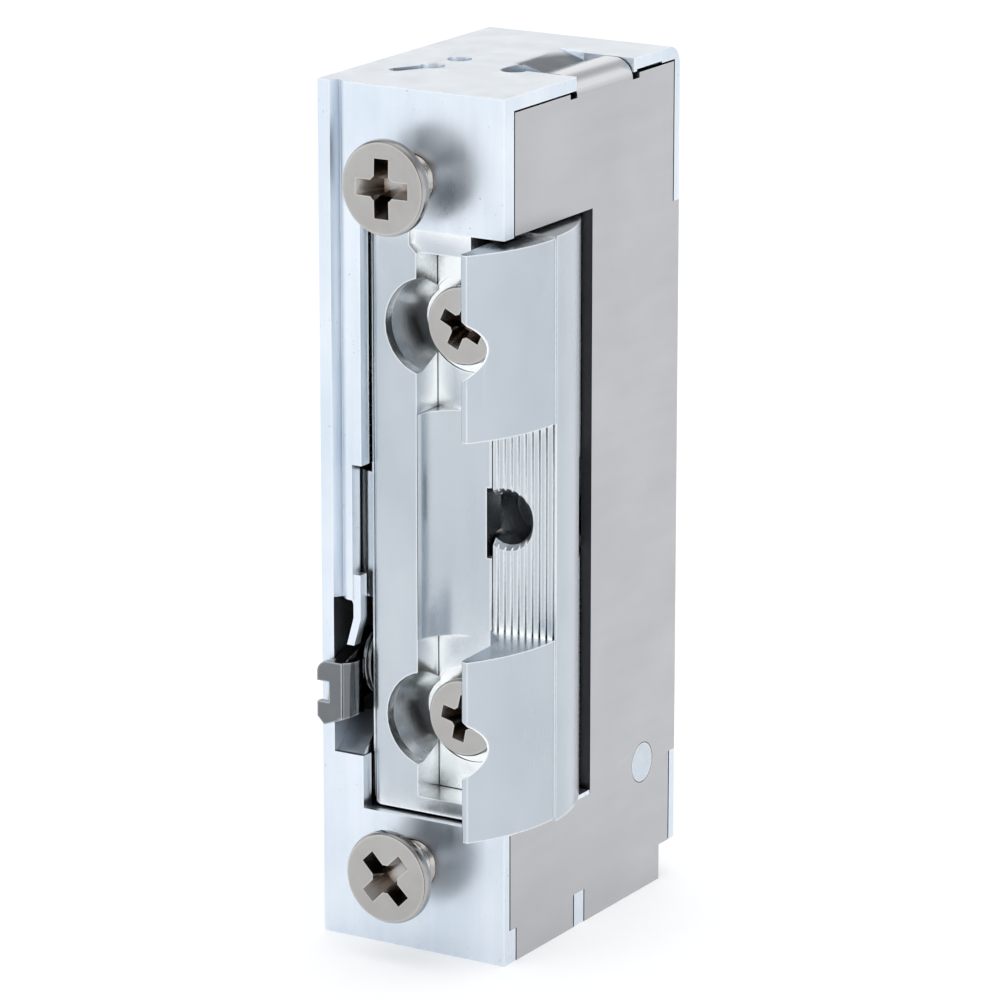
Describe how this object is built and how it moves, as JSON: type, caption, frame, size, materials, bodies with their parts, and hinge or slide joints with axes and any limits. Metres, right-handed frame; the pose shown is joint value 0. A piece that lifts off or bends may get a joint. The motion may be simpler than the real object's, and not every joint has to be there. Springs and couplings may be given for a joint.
{
  "type": "electric door strike",
  "caption": "Compact electric door strike: zinc body with a sheet side cover and a swinging radius keeper with a two-lip insert, held shut by a magnet-released lever.",
  "frame": {"origin": "on the faceplate plane, in the middle of the body's width and height, midway between the two faceplate screws", "axes": "+Z along the body's height, -Y towards the faceplate and the door, +X towards the side the keeper opens to"},
  "size_m": [0.0179, 0.0298, 0.066],
  "materials": {
    "zinc_casting": "satin bluish zinc die casting",
    "cover_sheet": "fine matt plated sheet",
    "rivet_steel": "satin",
    "keeper_casting": "satin plated casting",
    "insert_casting": "satin plated casting with a polished inner face",
    "nickel_screw": "warm satin nickel plate",
    "pin_steel": "ground",
    "spring_steel": "bright drawn wire",
    "lever_steel": "sintered steel",
    "magnet_iron": "zinc plated soft iron",
    "black_plastic": "moulded",
    "copper_wire": "enamelled",
    "brass": "plain",
    "lead_insulation": "smooth",
    "diode_plastic": "moulded",
    "dark_steel": "dark polished"
  },
  "bodies": {
    "housing": {"housing": "zinc_casting", "side_cover": "cover_sheet", "cover_rivet": "rivet_steel", "upper_keeper_pin": "pin_steel", "lower_keeper_pin": "pin_steel", "keeper_spring": "spring_steel", "retaining_pin": "pin_steel", "lever_pin": "pin_steel", "lever_spring": "spring_steel", "armature_pin": "pin_steel", "armature_spring": "spring_steel", "magnet_yoke": "magnet_iron", "coil_bobbin": "black_plastic", "coil_winding": "copper_wire", "magnet_core": "magnet_iron", "terminal_block": "black_plastic", "terminal_clamps": "brass", "terminal_screws": "nickel_screw", "coil_leads": "lead_insulation", "suppressor_diode": "diode_plastic", "release_pin": "pin_steel", "release_spring": "dark_steel", "faceplate_screws": "nickel_screw"},
    "keeper": {"keeper_body": "keeper_casting", "keeper_insert": "insert_casting", "insert_screws": "nickel_screw"},
    "locking_lever": {"locking_lever": "lever_steel"},
    "armature": {"armature": "magnet_iron"},
    "release_lever": {"release_lever": "dark_steel"}
  },
  "joints": [
    {"name": "keeper_swing", "type": "hinge", "parent": "housing", "child": "keeper", "pos_m": [-0.004, 0.004, 0], "axis": [0, 0, 1], "range_deg": [0, 45], "stiffness_Nm_per_rad": 0.002, "springref_deg": -28.65},
    {"name": "lever_turn", "type": "hinge", "parent": "housing", "child": "locking_lever", "pos_m": [0.0015, 0.0215, 0.012], "axis": [1, 0, 0], "range_deg": [0, 14.6]},
    {"name": "armature_pull", "type": "hinge", "parent": "housing", "child": "armature", "pos_m": [-0.0014, 0.0215, -0.0054], "axis": [0, 1, 0], "range_deg": [0, 10], "deforming": ["armature_spring"]},
    {"name": "release_turn", "type": "hinge", "parent": "housing", "child": "release_lever", "pos_m": [-0.0061, 0.0042, -0.01185], "axis": [-1, 0, 0], "range_deg": [0, 10], "stiffness_Nm_per_rad": 0.0002, "springref_deg": -28.65}
  ],
  "couplings": [
    {"joint": "lever_turn", "follows": "keeper_swing", "ratio": 0.32444},
    {"joint": "armature_pull", "follows": "keeper_swing", "ratio": 0.22222}
  ]
}
